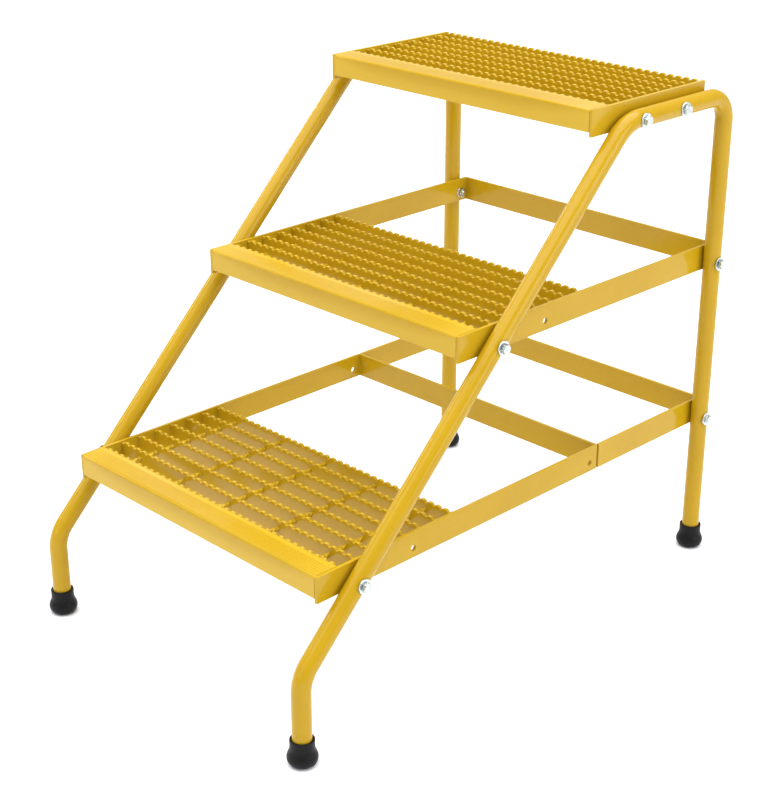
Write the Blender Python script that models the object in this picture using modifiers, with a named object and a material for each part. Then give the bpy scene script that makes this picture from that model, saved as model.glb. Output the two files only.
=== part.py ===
"""Three-step mounting block in bent tube, flat bar and serrated grating.

Metres, +Z up, +Y towards the back. The origin is on the floor, under the middle
of the whole stand. Every height and depth below the driving dimensions follows
from them: the slanted tube passes through the front bolt of each tread.
"""

import math

import bmesh
import bpy
from mathutils import Matrix, Vector

# Driving dimensions
TREAD_WIDTH = 0.508  # over the outside of the side bars
FIRST_RISE = 0.250  # floor to the top of the lowest tread
RISE = 0.254  # tread top to tread top
RUN = 0.254  # nosing front to nosing front
BAR_HEIGHT = 0.0381
BAR_THICKNESS = 0.0048
FRAME_DEPTH = 0.5625  # nosing front to the back of a tread frame
BEND_OUTSIDE = 0.0056  # outside radius of a flat bar's bend
HOLE_DROP = 0.0238  # tread top to the bolt holes
FRONT_HOLE = 0.0568  # nosing front to the front bolt of a tread frame
SPARE_HOLE = 0.1735
REAR_HOLE = 0.543
TOP_FRONT_HOLE = 0.083  # nosing front to the front bolt of the top tread
HOLE_RADIUS = 0.0044

TUBE_RADIUS = 0.01335
TUBE_WALL = 0.0017
FRONT_LEG_SETOFF = 0.0424  # how far the front leg stands before the lowest nosing
LOWER_BEND = 0.052
UPPER_BEND = 0.068
REAR_BEND = 0.038

NOSING_DEPTH = 0.039
NOSING_HEIGHT = 0.0320
NOSING_WALL = 0.0030
NOSING_FLANGE = 0.0160  # height of its rear edge, which is folded down
NOSING_LIP = 0.0040  # radius of the rounded front edge
RIB_COUNT = 5
RIB_PITCH = 0.00476
FIRST_GROOVE = 0.0044
GROOVE_WIDTH = 0.0018
GROOVE_SLOPE = 0.0004
RIB_HEIGHT = 0.0008

BEARING_BARS = 8
BEARING_PITCH = 0.0302
BEARING_DEPTH = 0.0254
BEARING_THICKNESS = 0.0048
ROD_COUNT = 5
ROD_PITCH = 0.1016
ROD_OFF_CENTRE = -0.0020  # the grating is cut from a longer panel
ROD_SIDE = 0.0056
ROD_DROP = 0.0142  # bearing bar top to the middle of a rod
ROD_INSET = 0.0010  # how far a rod's ends lie behind the outer bars' faces

FOOT_HEIGHT = 0.0385
FOOT_COLLAR = 0.0168
FOOT_BULB = 0.0209
FOOT_BULB_Z = 0.011
FOOT_COLLAR_Z = 0.026
FOOT_BASE = 0.0150
FOOT_FLOOR = 0.0080  # rubber under the tube's end
FOOT_RIM = 0.0012  # bevel of the collar's rim

BOLT_RADIUS = 0.0039
HEX_ACROSS_FLATS = 0.0127
HEAD_TURN = 0.2  # radians by which the heads are turned
NUT_TURN = 0.1
BOLT_HEAD_HEIGHT = 0.0054
WASHER_RADIUS = 0.0105
WASHER_THICKNESS = 0.0016
NUT_FLANGE = 0.0078
NUT_FLANGE_THICKNESS = 0.0014
NUT_HEIGHT = 0.0078
THREAD_END = 0.002  # how far a bolt's end stands out of its nut

GAP = 0.0003  # between pieces that touch
CUTTER_REACH = 0.002  # how far a cutter stands out of what it cuts
WELD = 0.00001  # points closer than this become one

# What follows from them
HALF_WIDTH = TREAD_WIDTH / 2
TUBE_X = HALF_WIDTH + GAP + TUBE_RADIUS
FRONT_LEG_Y = -FRONT_LEG_SETOFF
REAR_LEG_Y = RUN + REAR_HOLE
CENTRE_Y = (FRONT_LEG_Y + REAR_LEG_Y) / 2
TREAD_TOPS = [FIRST_RISE + RISE * step for step in range(3)]
TREAD_FRONTS = [RUN * step for step in range(3)]
TUBE_TOP_Z = TREAD_TOPS[2] - HOLE_DROP
GRATING_DEPTH = BEARING_PITCH * (BEARING_BARS - 1) + BEARING_THICKNESS
TOP_TREAD_DEPTH = NOSING_DEPTH + GAP + GRATING_DEPTH
INSIDE_WIDTH = TREAD_WIDTH - 2 * BAR_THICKNESS - 2 * GAP

YELLOW = (0.72, 0.42, 0.045)
RUBBER = (0.012, 0.012, 0.012)
ZINC = (0.62, 0.64, 0.62)


def clear_scene():
    """Removes whatever the file opened with."""
    for found in list(bpy.data.objects):
        bpy.data.objects.remove(found, do_unlink=True)


def make_collection(name, parent, is_helper=False):
    collection = bpy.data.collections.new(name)
    collection.hide_render = is_helper
    parent.children.link(collection)
    return collection


def make_material(name, colour, roughness, metallic):
    material = bpy.data.materials.new(name)
    material.use_nodes = True
    shader = material.node_tree.nodes["Principled BSDF"]
    shader.inputs["Base Color"].default_value = (*colour, 1.0)
    shader.inputs["Roughness"].default_value = roughness
    shader.inputs["Metallic"].default_value = metallic
    material.diffuse_color = (*colour, 1.0)
    return material


def add_object(name, data, collection, material=None):
    made = bpy.data.objects.new(name, data)
    collection.objects.link(made)
    if material is not None and not data.materials:
        data.materials.append(material)
    return made


def shade_round(mesh, angle=35):
    mesh.shade_smooth()
    mesh.set_sharp_from_angle(angle=math.radians(angle))


def mesh_from(build, name):
    """A mesh filled by build(bm)."""
    bm = bmesh.new()
    build(bm)
    bmesh.ops.recalc_face_normals(bm, faces=bm.faces)
    mesh = bpy.data.meshes.new(name)
    bm.to_mesh(mesh)
    bm.free()
    return mesh


def add_box(bm, low, high):
    low, high = Vector(low), Vector(high)
    size = high - low
    place = Matrix.Translation((low + high) / 2) @ Matrix.Diagonal((*size, 1.0))
    bmesh.ops.create_cube(bm, size=1.0, matrix=place)


def add_cylinder_x(bm, centre, radius, length, sides, turn=0.0):
    """A cylinder along X, centred on a point."""
    place = Matrix.Translation(centre) @ Matrix.Rotation(math.pi / 2, 4, "Y")
    place = place @ Matrix.Rotation(turn, 4, "Z")
    bmesh.ops.create_cone(
        bm,
        cap_ends=True,
        segments=sides,
        radius1=radius,
        radius2=radius,
        depth=length,
        matrix=place,
    )


def add_boolean(target, operation, operand):
    modifier = target.modifiers.new(operation.title(), "BOOLEAN")
    modifier.operation = operation
    modifier.solver = "EXACT"
    if isinstance(operand, bpy.types.Collection):
        modifier.operand_type = "COLLECTION"
        modifier.collection = operand
    else:
        modifier.object = operand


def settled_mesh(source, name):
    """The evaluated mesh of a curve or of an object with modifiers, with its seams welded."""
    graph = bpy.context.evaluated_depsgraph_get()
    mesh = bpy.data.meshes.new_from_object(source.evaluated_get(graph))
    mesh.name = name
    bm = bmesh.new()
    bm.from_mesh(mesh)
    bmesh.ops.remove_doubles(bm, verts=bm.verts, dist=WELD)
    bmesh.ops.recalc_face_normals(bm, faces=bm.faces)
    bm.to_mesh(mesh)
    bm.free()
    return mesh


def solid_from_curve(name, curve, collection, rotation=(0, 0, 0), location=(0, 0, 0)):
    """Turns a curve into a mesh object at the same place."""
    guide = add_object(name + "_guide", curve, collection)
    guide.rotation_euler = rotation
    guide.location = location
    bpy.context.view_layer.update()
    place = guide.matrix_world.copy()
    mesh = settled_mesh(guide, name)
    bpy.data.objects.remove(guide, do_unlink=True)
    made = add_object(name, mesh, collection)
    made.matrix_world = place
    return made


def arc(centre, radius, start, end, steps):
    """Points on an arc, angles in degrees, both ends included."""
    points = []
    for step in range(steps + 1):
        angle = math.radians(start + (end - start) * step / steps)
        points.append((centre[0] + radius * math.cos(angle), centre[1] + radius * math.sin(angle)))
    return points


def poly_curve(name, points, closed):
    curve = bpy.data.curves.new(name, "CURVE")
    curve.dimensions = "3D"
    spline = curve.splines.new("POLY")
    spline.points.add(len(points) - 1)
    for point, place in zip(spline.points, points):
        point.co = (*place, 1.0)
    spline.use_cyclic_u = closed
    return curve


def outline_curve(name, outline, thickness):
    """A flat outline filled and given a thickness, centred on its plane."""
    curve = poly_curve(name, [(x, y, 0.0) for x, y in outline], True)
    curve.dimensions = "2D"
    curve.fill_mode = "BOTH"
    curve.extrude = thickness / 2
    return curve


# Side frames


def frame_path(end_z):
    """The side frame's centre line as (y, z) points, from the front foot over the top to the rear foot."""
    slant_foot_z = TREAD_TOPS[0] - HOLE_DROP - (FRONT_HOLE - FRONT_LEG_Y)
    slant_top_y = RUN * 2 + FRONT_HOLE
    lower = bend_points((FRONT_LEG_Y, 0), (FRONT_LEG_Y, slant_foot_z), (slant_top_y, TUBE_TOP_Z), LOWER_BEND, 4)
    upper = bend_points(
        (FRONT_LEG_Y, slant_foot_z), (slant_top_y, TUBE_TOP_Z), (REAR_LEG_Y, TUBE_TOP_Z), UPPER_BEND, 5
    )
    rear = bend_points((slant_top_y, TUBE_TOP_Z), (REAR_LEG_Y, TUBE_TOP_Z), (REAR_LEG_Y, 0), REAR_BEND, 7)
    return [(FRONT_LEG_Y, end_z), *lower, *upper, *rear, (REAR_LEG_Y, end_z)]


def bend_points(before, corner, after, radius, steps):
    """Points on the arc of a given radius that rounds off a corner."""
    before, corner, after = Vector(before), Vector(corner), Vector(after)
    back = (before - corner).normalized()
    onward = (after - corner).normalized()
    half = back.angle(onward) / 2
    centre = corner + (back + onward).normalized() * radius / math.sin(half)
    first = corner + back * radius / math.tan(half) - centre
    last = corner + onward * radius / math.tan(half) - centre
    whole = first.angle_signed(last)
    points = []
    for step in range(steps + 1):
        turned = first.copy()
        turned.rotate(Matrix.Rotation(-whole * step / steps, 2))
        points.append(tuple(centre + turned))
    return points


def tube_along_frame(name, side, radius, end_z, resolution, collection):
    points = [(side * TUBE_X, y - CENTRE_Y, z) for y, z in frame_path(end_z)]
    curve = poly_curve(name, points, False)
    curve.bevel_depth = radius
    curve.bevel_resolution = resolution
    curve.use_fill_caps = True
    return solid_from_curve(name, curve, collection)


def make_side_frame(name, side, parts, cutters, bolt_holes, material):
    """One bent tube with open ends, from the front foot to the rear foot."""
    tube_end = FOOT_FLOOR + GAP
    frame = tube_along_frame(name, side, TUBE_RADIUS, tube_end, 6, parts)
    bore = tube_along_frame(name + "_bore", side, TUBE_RADIUS - TUBE_WALL, tube_end - CUTTER_REACH, 4, cutters)
    bore.display_type = "WIRE"
    add_boolean(frame, "DIFFERENCE", bore)
    add_boolean(frame, "DIFFERENCE", bolt_holes)
    frame.data.materials.append(material)
    shade_round(frame.data)
    return frame


# Flat bar frames


def u_outline(front, back):
    """A flat bar bent into a U that is open at the front, seen from above."""
    outer, inner = HALF_WIDTH, HALF_WIDTH - BAR_THICKNESS
    turn_y = back - BEND_OUTSIDE
    turn_x = HALF_WIDTH - BEND_OUTSIDE
    inside = BEND_OUTSIDE - BAR_THICKNESS
    right_outer = arc((turn_x, turn_y), BEND_OUTSIDE, 0, 90, 4)
    right_inner = arc((turn_x, turn_y), inside, 90, 0, 2)
    left_outer = [(-x, y) for x, y in reversed(right_outer)]
    left_inner = [(-x, y) for x, y in reversed(right_inner)]
    return [
        (outer, front),
        *right_outer,
        *left_outer,
        (-outer, front),
        (-inner, front),
        *left_inner,
        *right_inner,
        (inner, front),
    ]


def make_bent_frame(name, front, back, top, parts, bolt_holes, material):
    outline = [(x, y - CENTRE_Y) for x, y in u_outline(front, back)]
    curve = outline_curve(name, outline, BAR_HEIGHT)
    frame = solid_from_curve(name, curve, parts, location=(0, 0, top - BAR_HEIGHT / 2))
    add_boolean(frame, "DIFFERENCE", bolt_holes)
    frame.data.materials.append(material)
    return frame


def make_side_plate(name, side, parts, bolt_holes, material):
    """The top tread's own side bar, which ends at the grating's last bar."""
    inner, outer = sorted((side * (HALF_WIDTH - BAR_THICKNESS), side * HALF_WIDTH))
    front = TREAD_FRONTS[2] - CENTRE_Y
    top = TREAD_TOPS[2]
    mesh = mesh_from(
        lambda bm: add_box(
            bm,
            (inner, front, top - BAR_HEIGHT),
            (outer, front + TOP_TREAD_DEPTH, top),
        ),
        name,
    )
    plate = add_object(name, mesh, parts, material)
    add_boolean(plate, "DIFFERENCE", bolt_holes)
    return plate


# Treads


def nosing_outline():
    """The nosing's section as (y, z), with y from its front face and z from the tread's top."""
    lip = arc((NOSING_LIP, -NOSING_LIP), NOSING_LIP, 180, 90, 5)
    ribs = []
    for groove in range(RIB_COUNT + 1):
        start = FIRST_GROOVE + groove * RIB_PITCH
        end = start + GROOVE_WIDTH
        ribs += [(start, 0), (start + GROOVE_SLOPE, -RIB_HEIGHT), (end - GROOVE_SLOPE, -RIB_HEIGHT), (end, 0)]
    inner_lip = arc((NOSING_LIP, -NOSING_LIP), NOSING_LIP - NOSING_WALL, 90, 180, 3)
    return [
        (0, -NOSING_HEIGHT),
        *lip,
        *ribs,
        (NOSING_DEPTH, 0),
        (NOSING_DEPTH, -NOSING_FLANGE),
        (NOSING_DEPTH - NOSING_WALL, -NOSING_FLANGE),
        (NOSING_DEPTH - NOSING_WALL, -NOSING_WALL),
        *inner_lip,
        (NOSING_WALL, -NOSING_HEIGHT),
    ]


def make_nosing(name, front, top, parts, material):
    curve = outline_curve(name, nosing_outline(), INSIDE_WIDTH)
    nosing = solid_from_curve(
        name,
        curve,
        parts,
        rotation=(math.pi / 2, 0, math.pi / 2),
        location=(0, front - CENTRE_Y, top),
    )
    nosing.data.materials.append(material)
    return nosing


def make_grating_meshes():
    """The bearing bars as one mesh and the cross rods as another, about the grating's front top edge."""
    half = INSIDE_WIDTH / 2

    def build_bars(bm):
        for bar in range(BEARING_BARS):
            front = bar * BEARING_PITCH
            add_box(bm, (-half, front, -BEARING_DEPTH), (half, front + BEARING_THICKNESS, 0))

    def build_rods(bm):
        for rod in range(ROD_COUNT):
            x = ROD_OFF_CENTRE + (rod - (ROD_COUNT - 1) / 2) * ROD_PITCH
            add_box(
                bm,
                (x - ROD_SIDE / 2, ROD_INSET, -ROD_DROP - ROD_SIDE / 2),
                (x + ROD_SIDE / 2, GRATING_DEPTH - ROD_INSET, -ROD_DROP + ROD_SIDE / 2),
            )

    return mesh_from(build_bars, "bearing_bars"), mesh_from(build_rods, "cross_rods")


def make_grating(name, front, top, meshes, parts, cutters, material):
    bars, rods = meshes
    place = (0, front + NOSING_DEPTH + GAP - CENTRE_Y, top)
    grating = add_object(name, bars, parts, material)
    grating.location = place
    rod_set = add_object(name + "_rods", rods, cutters)
    rod_set.location = place
    rod_set.display_type = "WIRE"
    add_boolean(grating, "UNION", rod_set)
    return grating


# Feet


def foot_profile():
    """Radius and height down the foot, from the floor of its socket over the collar to the sole."""
    socket = TUBE_RADIUS + GAP
    profile = [
        (0, FOOT_FLOOR),
        (socket, FOOT_FLOOR),
        (socket, FOOT_HEIGHT),
        (FOOT_COLLAR - FOOT_RIM, FOOT_HEIGHT),
        (FOOT_COLLAR, FOOT_HEIGHT - FOOT_RIM),
        (FOOT_COLLAR, FOOT_COLLAR_Z),
    ]
    for degrees in (60, 35, 0):
        angle = math.radians(degrees)
        radius = FOOT_COLLAR + (FOOT_BULB - FOOT_COLLAR) * math.cos(angle)
        height = FOOT_BULB_Z + (FOOT_COLLAR_Z - FOOT_BULB_Z) * math.sin(angle)
        profile.append((radius, height))
    for degrees in (35, 65, 90):
        angle = math.radians(degrees)
        radius = FOOT_BASE + (FOOT_BULB - FOOT_BASE) * math.cos(angle)
        profile.append((radius, FOOT_BULB_Z * (1 - math.sin(angle))))
    profile.append((0, 0))
    return profile


def make_foot_mesh():
    profile = foot_profile()
    mesh = bpy.data.meshes.new("foot")
    points = [(radius, 0, height) for radius, height in profile]
    mesh.from_pydata(points, [(step, step + 1) for step in range(len(points) - 1)], [])
    guide = add_object("foot_guide", mesh, bpy.context.scene.collection)
    turn = guide.modifiers.new("Turn", "SCREW")
    turn.steps = 20
    turn.render_steps = 20
    turn.use_merge_vertices = True
    turn.merge_threshold = 0.00005
    turned = settled_mesh(guide, "rubber_foot")
    bpy.data.objects.remove(guide, do_unlink=True)
    shade_round(turned, 40)
    return turned


# Fasteners


def add_hexagon(bm, from_x, to_x, turn):
    middle = ((from_x + to_x) / 2, 0, 0)
    add_cylinder_x(bm, middle, HEX_ACROSS_FLATS / math.sqrt(3), abs(to_x - from_x), 6, turn)


def combined_mesh(name, first, *others):
    """One mesh from build functions: the first, joined with or cut by each of the others."""
    scene = bpy.context.scene.collection
    body = add_object(name + "_body", mesh_from(first, name), scene)
    tools = []
    for operation, build in others:
        tool = add_object(f"{name}_tool_{len(tools)}", mesh_from(build, name), scene)
        add_boolean(body, operation, tool)
        tools.append(tool)
    bpy.context.view_layer.update()
    mesh = settled_mesh(body, name)
    for helper in [body, *tools]:
        bpy.data.objects.remove(helper, do_unlink=True)
    shade_round(mesh)
    return mesh


def make_bolt_mesh():
    """A hexagon bolt along X: its head seats at x = 0 and the shank runs towards -X."""
    grip = WASHER_THICKNESS + 2 * TUBE_RADIUS + BAR_THICKNESS + 4 * GAP
    reach = grip + NUT_HEIGHT + THREAD_END
    into_head = 0.001

    def head(bm):
        add_hexagon(bm, 0, BOLT_HEAD_HEIGHT, HEAD_TURN)

    def shank(bm):
        add_cylinder_x(bm, ((into_head - reach) / 2, 0, 0), BOLT_RADIUS, reach + into_head, 12)

    return combined_mesh("hex_bolt", head, ("UNION", shank))


def make_washer_mesh():
    """A flat washer that seats at x = 0 and stands towards +X."""

    def disc(bm):
        add_cylinder_x(bm, (WASHER_THICKNESS / 2, 0, 0), WASHER_RADIUS, WASHER_THICKNESS, 20)

    def hole(bm):
        add_cylinder_x(bm, (0, 0, 0), HOLE_RADIUS, 4 * WASHER_THICKNESS, 12)

    return combined_mesh("flat_washer", disc, ("DIFFERENCE", hole))


def make_nut_mesh():
    """A flanged hexagon nut along X: its flange seats at x = 0 and it stands towards -X."""

    def flange(bm):
        add_cylinder_x(bm, (-NUT_FLANGE_THICKNESS / 2, 0, 0), NUT_FLANGE, NUT_FLANGE_THICKNESS, 20)

    def hexagon(bm):
        add_hexagon(bm, -NUT_HEIGHT, -NUT_FLANGE_THICKNESS / 2, NUT_TURN)

    def thread(bm):
        add_cylinder_x(bm, (-NUT_HEIGHT / 2, 0, 0), BOLT_RADIUS + GAP, NUT_HEIGHT * 2, 12)

    return combined_mesh("flange_nut", flange, ("UNION", hexagon), ("DIFFERENCE", thread))


def bolt_places():
    """Name and (y, z) of each bolt on one side, before the shift to the stand's own origin."""
    drop = [top - HOLE_DROP for top in TREAD_TOPS]
    return {
        "lower_front": (FRONT_HOLE, drop[0]),
        "lower_rear": (REAR_LEG_Y, drop[0]),
        "middle_front": (RUN + FRONT_HOLE, drop[1]),
        "middle_rear": (REAR_LEG_Y, drop[1]),
        "upper_front": (2 * RUN + TOP_FRONT_HOLE, drop[2]),
        "upper_rear": (2 * RUN + SPARE_HOLE, drop[2]),
    }


def spare_holes():
    """The unused holes in the lower two tread frames, as (y, z)."""
    drop = [top - HOLE_DROP for top in TREAD_TOPS]
    return [(SPARE_HOLE, drop[0]), (REAR_HOLE, drop[0]), (RUN + SPARE_HOLE, drop[1])]


def make_hole_cutters(cutters):
    """One cutter through tube and bar at each hole, on both sides."""
    holes = make_collection("hole_cutters", cutters, is_helper=True)
    inside = HALF_WIDTH - BAR_THICKNESS - CUTTER_REACH
    outside = TUBE_X + TUBE_RADIUS + CUTTER_REACH
    mesh = mesh_from(
        lambda bm: add_cylinder_x(bm, (0, 0, 0), HOLE_RADIUS, outside - inside, 16),
        "hole",
    )
    for number, (y, z) in enumerate([*bolt_places().values(), *spare_holes()]):
        for label, side in (("left", -1), ("right", 1)):
            hole = add_object(f"hole_{label}_{number}", mesh, holes)
            hole.location = (side * (inside + outside) / 2, y - CENTRE_Y, z)
            hole.display_type = "WIRE"
    return holes


def make_fasteners(parts, material):
    """A washer under each bolt's head, outside the tube, and a nut inside the flat bar."""
    tube_side = TUBE_X + TUBE_RADIUS + GAP
    pieces = {
        "washer": (make_washer_mesh(), tube_side),
        "bolt": (make_bolt_mesh(), tube_side + WASHER_THICKNESS + GAP),
        "nut": (make_nut_mesh(), HALF_WIDTH - BAR_THICKNESS - GAP),
    }
    for label, side in (("left", -1), ("right", 1)):
        turn = 0 if side > 0 else math.pi
        for place, (y, z) in bolt_places().items():
            for piece, (mesh, x) in pieces.items():
                made = add_object(f"{label}_{place}_{piece}", mesh, parts, material)
                made.location = (side * x, y - CENTRE_Y, z)
                made.rotation_euler = (0, 0, turn)


def main():
    clear_scene()
    scene = bpy.context.scene.collection
    parts = make_collection("mounting_block", scene)
    cutters = make_collection("mounting_block_cutters", scene, is_helper=True)
    yellow = make_material("yellow_coat", YELLOW, 0.35, 0.0)
    rubber = make_material("black_rubber", RUBBER, 0.6, 0.0)
    zinc = make_material("bright_zinc", ZINC, 0.3, 1.0)

    holes = make_hole_cutters(cutters)
    for name, side in (("side_frame_left", -1), ("side_frame_right", 1)):
        make_side_frame(name, side, parts, cutters, holes, yellow)

    for name, step in (("lower_tread_frame", 0), ("middle_tread_frame", 1)):
        front = TREAD_FRONTS[step]
        make_bent_frame(name, front, front + FRAME_DEPTH, TREAD_TOPS[step], parts, holes, yellow)
    brace_front = FRAME_DEPTH + GAP
    make_bent_frame("rear_brace", brace_front, RUN + FRAME_DEPTH, TREAD_TOPS[0], parts, holes, yellow)
    for name, side in (("top_tread_plate_left", -1), ("top_tread_plate_right", 1)):
        make_side_plate(name, side, parts, holes, yellow)

    grating_meshes = make_grating_meshes()
    for step, level in enumerate(("lower", "middle", "top")):
        front, top = TREAD_FRONTS[step], TREAD_TOPS[step]
        make_nosing(f"{level}_nosing", front, top, parts, yellow)
        make_grating(f"{level}_grating", front, top, grating_meshes, parts, cutters, yellow)

    foot_mesh = make_foot_mesh()
    for end, y in (("front", FRONT_LEG_Y), ("rear", REAR_LEG_Y)):
        for label, side in (("left", -1), ("right", 1)):
            foot = add_object(f"{end}_{label}_foot", foot_mesh, parts, rubber)
            foot.location = (side * TUBE_X, y - CENTRE_Y, 0)

    make_fasteners(parts, zinc)


main()
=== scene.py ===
"""Three-step mounting block: finishes, fine shapes, studio light and camera.

Metres, +Z up, +Y towards the back. Every piece is shaped where it stands, about
the solid it replaces, so each object keeps its origin on the floor.
"""

import logging
import math
from collections.abc import Iterable, Sequence
from dataclasses import dataclass, field
from enum import Enum

import bmesh
import bpy
from mathutils import Matrix, Vector

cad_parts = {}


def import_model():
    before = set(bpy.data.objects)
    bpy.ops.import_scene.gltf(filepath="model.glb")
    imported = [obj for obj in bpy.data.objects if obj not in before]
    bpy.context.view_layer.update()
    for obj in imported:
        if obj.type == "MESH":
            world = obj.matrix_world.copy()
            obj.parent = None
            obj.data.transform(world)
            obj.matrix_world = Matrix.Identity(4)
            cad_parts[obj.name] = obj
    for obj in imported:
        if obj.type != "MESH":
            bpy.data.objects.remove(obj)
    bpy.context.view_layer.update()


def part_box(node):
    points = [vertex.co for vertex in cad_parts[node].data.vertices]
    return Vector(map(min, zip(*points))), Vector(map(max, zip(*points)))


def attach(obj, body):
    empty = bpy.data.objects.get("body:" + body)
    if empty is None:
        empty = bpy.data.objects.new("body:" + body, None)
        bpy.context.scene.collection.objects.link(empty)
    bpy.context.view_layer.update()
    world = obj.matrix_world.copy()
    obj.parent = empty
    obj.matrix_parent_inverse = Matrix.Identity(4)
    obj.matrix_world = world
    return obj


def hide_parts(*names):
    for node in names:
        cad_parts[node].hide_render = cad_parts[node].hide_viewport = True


LOG = logging.getLogger("mounting_block")
TINY = 1e-6  # stands for a radius of nothing
WELD = 2e-6  # points of a mesh closer than this become one
SAME_PLACE = 5e-5  # points of a centre line closer than this count once
EDGE_ANGLE = 35.0  # an edge that turns by more degrees than this stays sharp
ROUND_ANGLE = 50.0  # the same for pieces whose curves have few points
MIX_FACTOR, MIX_FIRST, MIX_SECOND, MIX_RESULT = 0, 6, 7, 2  # a Mix node's sockets for colours

Colour = tuple[float, float, float]
Spot = tuple[float, float]  # a point of a flat outline
Span = tuple[float, float]  # where something starts and where it ends
Ring = list[Vector]
LinePoint = tuple[Vector, Vector, float]  # place, direction and how far it is bent


class Slot(Enum):
    """The material slots of the record that a piece can take its finish from."""

    COAT = "yellow_coat"
    RUBBER = "rubber"
    ZINC = "zinc"


class Side(Enum):
    """Which side of the stand a piece is on, as seen by someone who climbs it."""

    LEFT = -1
    RIGHT = 1

    @property
    def label(self) -> str:
        """The word that node names use."""
        return self.name.lower()


class Level(Enum):
    """The three treads, from the floor up."""

    LOWER = "lower"
    MIDDLE = "middle"
    TOP = "top"


# ---------------------------------------------------------------- shader maths


@dataclass(frozen=True)
class Signal:
    """One output of a shader node that Python's operators work on."""

    graph: "ShaderGraph"
    socket: bpy.types.NodeSocket

    def maths(self, operation: str, *values: "Signal | float") -> "Signal":
        """Runs a Math node on plain values.

        Args:
            operation: the Math node's operation.
            values: its inputs in order.

        Returns:
            The node's result.
        """
        return self.graph.node("ShaderNodeMath", {"operation": operation}, dict(enumerate(values)))

    def __add__(self, other: "Signal | float") -> "Signal":
        """self + other."""
        return self.maths("ADD", self, other)

    __radd__ = __add__

    def __sub__(self, other: "Signal | float") -> "Signal":
        """self - other."""
        return self.maths("SUBTRACT", self, other)

    def __rsub__(self, other: float) -> "Signal":
        """other - self."""
        return self.maths("SUBTRACT", other, self)

    def __mul__(self, other: "Signal | float") -> "Signal":
        """self * other."""
        return self.maths("MULTIPLY", self, other)

    __rmul__ = __mul__

    def clamped(self) -> "Signal":
        """The value kept between 0 and 1."""
        return self.graph.node("ShaderNodeClamp", {}, {"Value": self})

    def between(self, low: float, high: float) -> "Signal":
        """0 below low, 1 above high and a smooth rise between them."""
        return self.graph.node(
            "ShaderNodeMapRange",
            {"interpolation_type": "SMOOTHSTEP"},
            {"Value": self, "From Min": low, "From Max": high},
        )


class ShaderGraph:
    """The node tree of one material."""

    def __init__(self, name: str) -> None:
        """Makes a material that holds only its shader and its output.

        Args:
            name: the material's name.
        """
        self.material = bpy.data.materials.new(name)
        self.material.use_nodes = True
        self.tree = self.material.node_tree
        self.shader = self.tree.nodes["Principled BSDF"]

    def node(
        self,
        kind: str,
        settings: dict[str, object],
        inputs: dict[str | int, object],
        output: str | int = 0,
    ) -> Signal:
        """Adds a node.

        Args:
            kind: the node's type.
            settings: its properties, set first.
            inputs: values or signals of its sockets, by name or number.
            output: the socket that is wanted, by name or number.

        Returns:
            That output.
        """
        made = self.tree.nodes.new(kind)
        for name, value in settings.items():
            setattr(made, name, value)
        for socket, value in inputs.items():
            self._feed(made.inputs[socket], value)
        return Signal(self, made.outputs[output])

    def _feed(self, socket: bpy.types.NodeSocket, value: object) -> None:
        """Links a signal to a socket, or sets a plain value there.

        Args:
            socket: the input that is fed.
            value: a signal, a number, a colour or a vector.
        """
        if isinstance(value, Signal):
            self.tree.links.new(value.socket, socket)
        elif isinstance(value, tuple) and len(value) == 3 and socket.type == "RGBA":
            socket.default_value = (*value, 1.0)
        else:
            socket.default_value = value

    def blend(self, factor: Signal | float, first: object, second: object) -> Signal:
        """Mixes two colours.

        Args:
            factor: 0 gives the first and 1 the second.
            first: a colour or a signal.
            second: a colour or a signal.

        Returns:
            The mixed colour.
        """
        inputs = {MIX_FACTOR: factor, MIX_FIRST: first, MIX_SECOND: second}
        return self.node("ShaderNodeMix", {"data_type": "RGBA"}, inputs, MIX_RESULT)

    def place(self) -> Signal:
        """The point on the piece, in metres."""
        return self.node("ShaderNodeTexCoord", {}, {}, "Object")

    def noise(self, size: float, detail: float = 2.0, roughness: float = 0.5) -> Signal:
        """Soft noise about 0.5.

        Args:
            size: how far apart its lumps are, in metres.
            detail: how many finer layers it has.
            roughness: how strong those layers are.

        Returns:
            The noise.
        """
        return self.node(
            "ShaderNodeTexNoise",
            {},
            {"Vector": self.place(), "Scale": 1.0 / size, "Detail": detail, "Roughness": roughness},
        )

    def convex(self) -> Signal:
        """How far the surface bulges, about 0.5 where it is flat."""
        return self.node("ShaderNodeNewGeometry", {}, {}, "Pointiness")

    def stored(self, name: str) -> Signal:
        """A value kept on the mesh's points."""
        return self.node("ShaderNodeAttribute", {"attribute_name": name}, {}, "Fac")

    def bump(self, height: Signal, depth: float, under: Signal | None = None) -> Signal:
        """A normal tilted by a height.

        Args:
            height: from 0 to 1.
            depth: what a height of 1 stands for, in metres.
            under: the normal that is tilted, if not the surface's own.

        Returns:
            The normal.
        """
        inputs = {"Height": height, "Distance": depth}
        if under is not None:
            inputs["Normal"] = under
        return self.node("ShaderNodeBump", {}, inputs, "Normal")

    def finish(self, **sockets: object) -> bpy.types.Material:
        """Feeds the Principled shader.

        Args:
            sockets: its sockets, with _ for a space.

        Returns:
            The finished material.
        """
        for name, value in sockets.items():
            self._feed(self.shader.inputs[name.replace("_", " ")], value)
        return self.material


# -------------------------------------------------------------------- finishes

CREST = "crest"  # stored on a mesh: 1 on the tops of the crests, which get a painted highlight


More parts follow.
